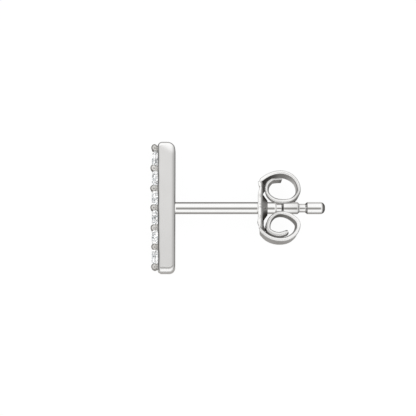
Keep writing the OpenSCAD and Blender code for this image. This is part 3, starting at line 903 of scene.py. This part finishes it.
# %% Camera in the earring's own axes
PIXELS, PIXELS_PER_MM, DISTANCE, FROM_BELOW = 416, 15.0, 95.0, math.radians(6.5)
AIM, RIGHT = np.array([2.187, 0.007, 0.0]), np.array([1.0, 0.0, 0.0])
towards = np.array([0, -math.sin(FROM_BELOW), math.cos(FROM_BELOW)])
axes = own_to_row @ np.stack([RIGHT, np.cross(towards, RIGHT), towards], -1)
camera = new_object("camera", bpy.data.cameras.new("camera"))
turned_to_row = Matrix(axes.tolist()).to_4x4()
camera.matrix_world = Matrix.Translation(to_row(AIM + towards * DISTANCE)) @ turned_to_row
camera.data.lens = camera.data.sensor_width * DISTANCE / (PIXELS / PIXELS_PER_MM)
camera.data.clip_start, camera.data.clip_end = DISTANCE * MM / 10, 10.0
bpy.context.scene.camera = camera
print("lens in mm:", round(camera.data.lens, 1))

# %% [markdown]
# ## Floor and light
#
# The floor is plain and pale, and the light is one soft dome, as in a light tent. Polished metal
# has hardly any looks of its own: it shows what stands round it. So its surroundings are set as
# carefully as a photographer sets them.
#
# - The hole for the camera is a darker spot above, and the tent gets darker low down. That draws
#   the outlines of the metal.
# - A photographer hides the white table from the metal with dark cards beside it. Here the floor
#   itself is darker near the earring where metal mirrors it, in steps along the bar, and one corner
#   of it under the clutch's outer end stays paler. The camera sees an even pale floor.
# - The tent's folds are dark lines that only show through the stones, where they break up the light.

# %% Floor
def mixed(tree, factor, a, b):
    """Two shaders mixed by a factor."""
    return made(tree, "MixShader", {0: factor, 1: a, 2: b})


def glow(tree, colour, strength=1.0, kind="Emission"):
    """An even shine."""
    return made(tree, kind, {"Color": colour, "Strength": strength})


HALF, FLOOR_GREY, FLOOR_SHINE = 0.6, (0.06, 0.06, 0.06), 0.95
floor_mesh = bpy.data.meshes.new("floor")
floor_mesh.from_pydata([(-HALF, -HALF, 0), (HALF, -HALF, 0), (HALF, HALF, 0), (-HALF, HALF, 0)], [],
                       [(0, 1, 2, 3)])
floor = new_object("floor", floor_mesh)
print("floor of", 2 * HALF, "m")

# %% The floor's finish, and what the metal mirrors of it
CARDS_END, CARDS_ALONG_Y = (8 * MM, 13 * MM), (-8 * MM, 2 * MM)
CARD_TONES = [(0.2, 0.45), (0.56, 0.37), (0.7, 0.245), (1, 0.22)]
CORNER_X, CORNER_Y, CORNER_TONE = (3.3 * MM, 4.3 * MM), (0.2 * MM, 1.2 * MM), (0.62, 0.61, 0.6)
floor_finish, tree, shader, coords = new_material("pale table")
feed(tree, shader, {"Base Color": FLOOR_GREY, "Roughness": 0.9, "Specular IOR Level": 0.1})
lit = made(tree, "AddShader", {0: shader.outputs[0], 1: glow(tree, WHITE, FLOOR_SHINE)})

x, y = (made(tree, "SeparateXYZ", {0: coords}, axis) for axis in "XY")
from_middle = made(tree, "VectorMath", {0: coords}, "Value", operation="LENGTH")
card_tone = ramp(tree, carried(tree, y, *CARDS_ALONG_Y),
                 *[(place, (tone, tone * 0.97, tone * 0.935)) for place, tone in CARD_TONES])
corner = reckoned(tree, "MULTIPLY", carried(tree, x, *CORNER_X), carried(tree, y, *CORNER_Y))
cards = mixed(tree, corner, glow(tree, card_tone), glow(tree, CORNER_TONE))
mirrored = mixed(tree, carried(tree, from_middle, *CARDS_END), cards, glow(tree, WHITE, 0.7))
in_mirror = made(tree, "LightPath", out="Is Glossy Ray")
feed(tree, tree.nodes["Material Output"], {"Surface": mixed(tree, in_mirror, lit, mirrored)})
floor_mesh.materials.append(floor_finish)

# %% Light
SPOT, TENT_SHINE = math.radians(15.0), 1.15
HOLE_TONES = [(0, (0.27, 0.265, 0.255)), (14, (0.32, 0.315, 0.305)), (18.5, (0.69, 0.685, 0.68)),
              (26, (0.71, 0.705, 0.70)), (33, WHITE)]
LOW_TONES = [(0, WHITE), (78, WHITE), (90, (0.5, 0.49, 0.48)), (100, (0.2, 0.195, 0.19))]
world = bpy.data.worlds.new("light tent")
bpy.context.scene.world = world
world.use_nodes = True
tree = world.node_tree
direction = made(tree, "TexCoord", out="Generated")


def by_angle(axis, tones):
    """A tone that follows the angle in degrees between a direction and an axis, which is the arc
    cosine of their dot product."""
    cosine = made(tree, "VectorMath", {0: direction, 1: list(axis)}, "Value", operation="DOT_PRODUCT")
    share = reckoned(tree, "DIVIDE", reckoned(tree, "ARCCOSINE", cosine), math.pi)
    return ramp(tree, share, *[(degrees / 180, tone) for degrees, tone in tones])


hole = by_angle(own_to_row @ [0, -math.sin(SPOT), math.cos(SPOT)], HOLE_TONES)
both = made(tree, "Mix", {"Factor": 1.0, "A": hole, "B": by_angle([0, 0, 1], LOW_TONES)}, "Result",
            data_type="RGBA", blend_type="MULTIPLY")
tent = tree.nodes["Background"]
feed(tree, tent, {"Color": both, "Strength": TENT_SHINE})
print("the hole for the camera is", round(math.degrees(SPOT)), "degrees from right above")

# %% The tent's folds behind the stones, and the even background
FOLDS, FOLD_SHINE, BACKGROUND = 2.0, 1.4, (0.99, 0.99, 0.99)
FOLD_TONES = (0.44, (0.04, 0.045, 0.05)), (0.49, WHITE)
folds = made(tree, "TexNoise", {"Vector": direction, "Scale": FOLDS, "Detail": 0.0}, "Fac")
folded = glow(tree, ramp(tree, folds, *FOLD_TONES), FOLD_SHINE, "Background")
seen_through = made(tree, "LightPath", out="Is Transmission Ray")
seen_at_once = made(tree, "LightPath", out="Is Camera Ray")
around = mixed(tree, seen_at_once, mixed(tree, seen_through, tent.outputs[0], folded),
               glow(tree, BACKGROUND, 1.0, "Background"))
feed(tree, tree.nodes["World Output"], {"Surface": around})
bpy.context.scene.view_settings.view_transform = "Standard"
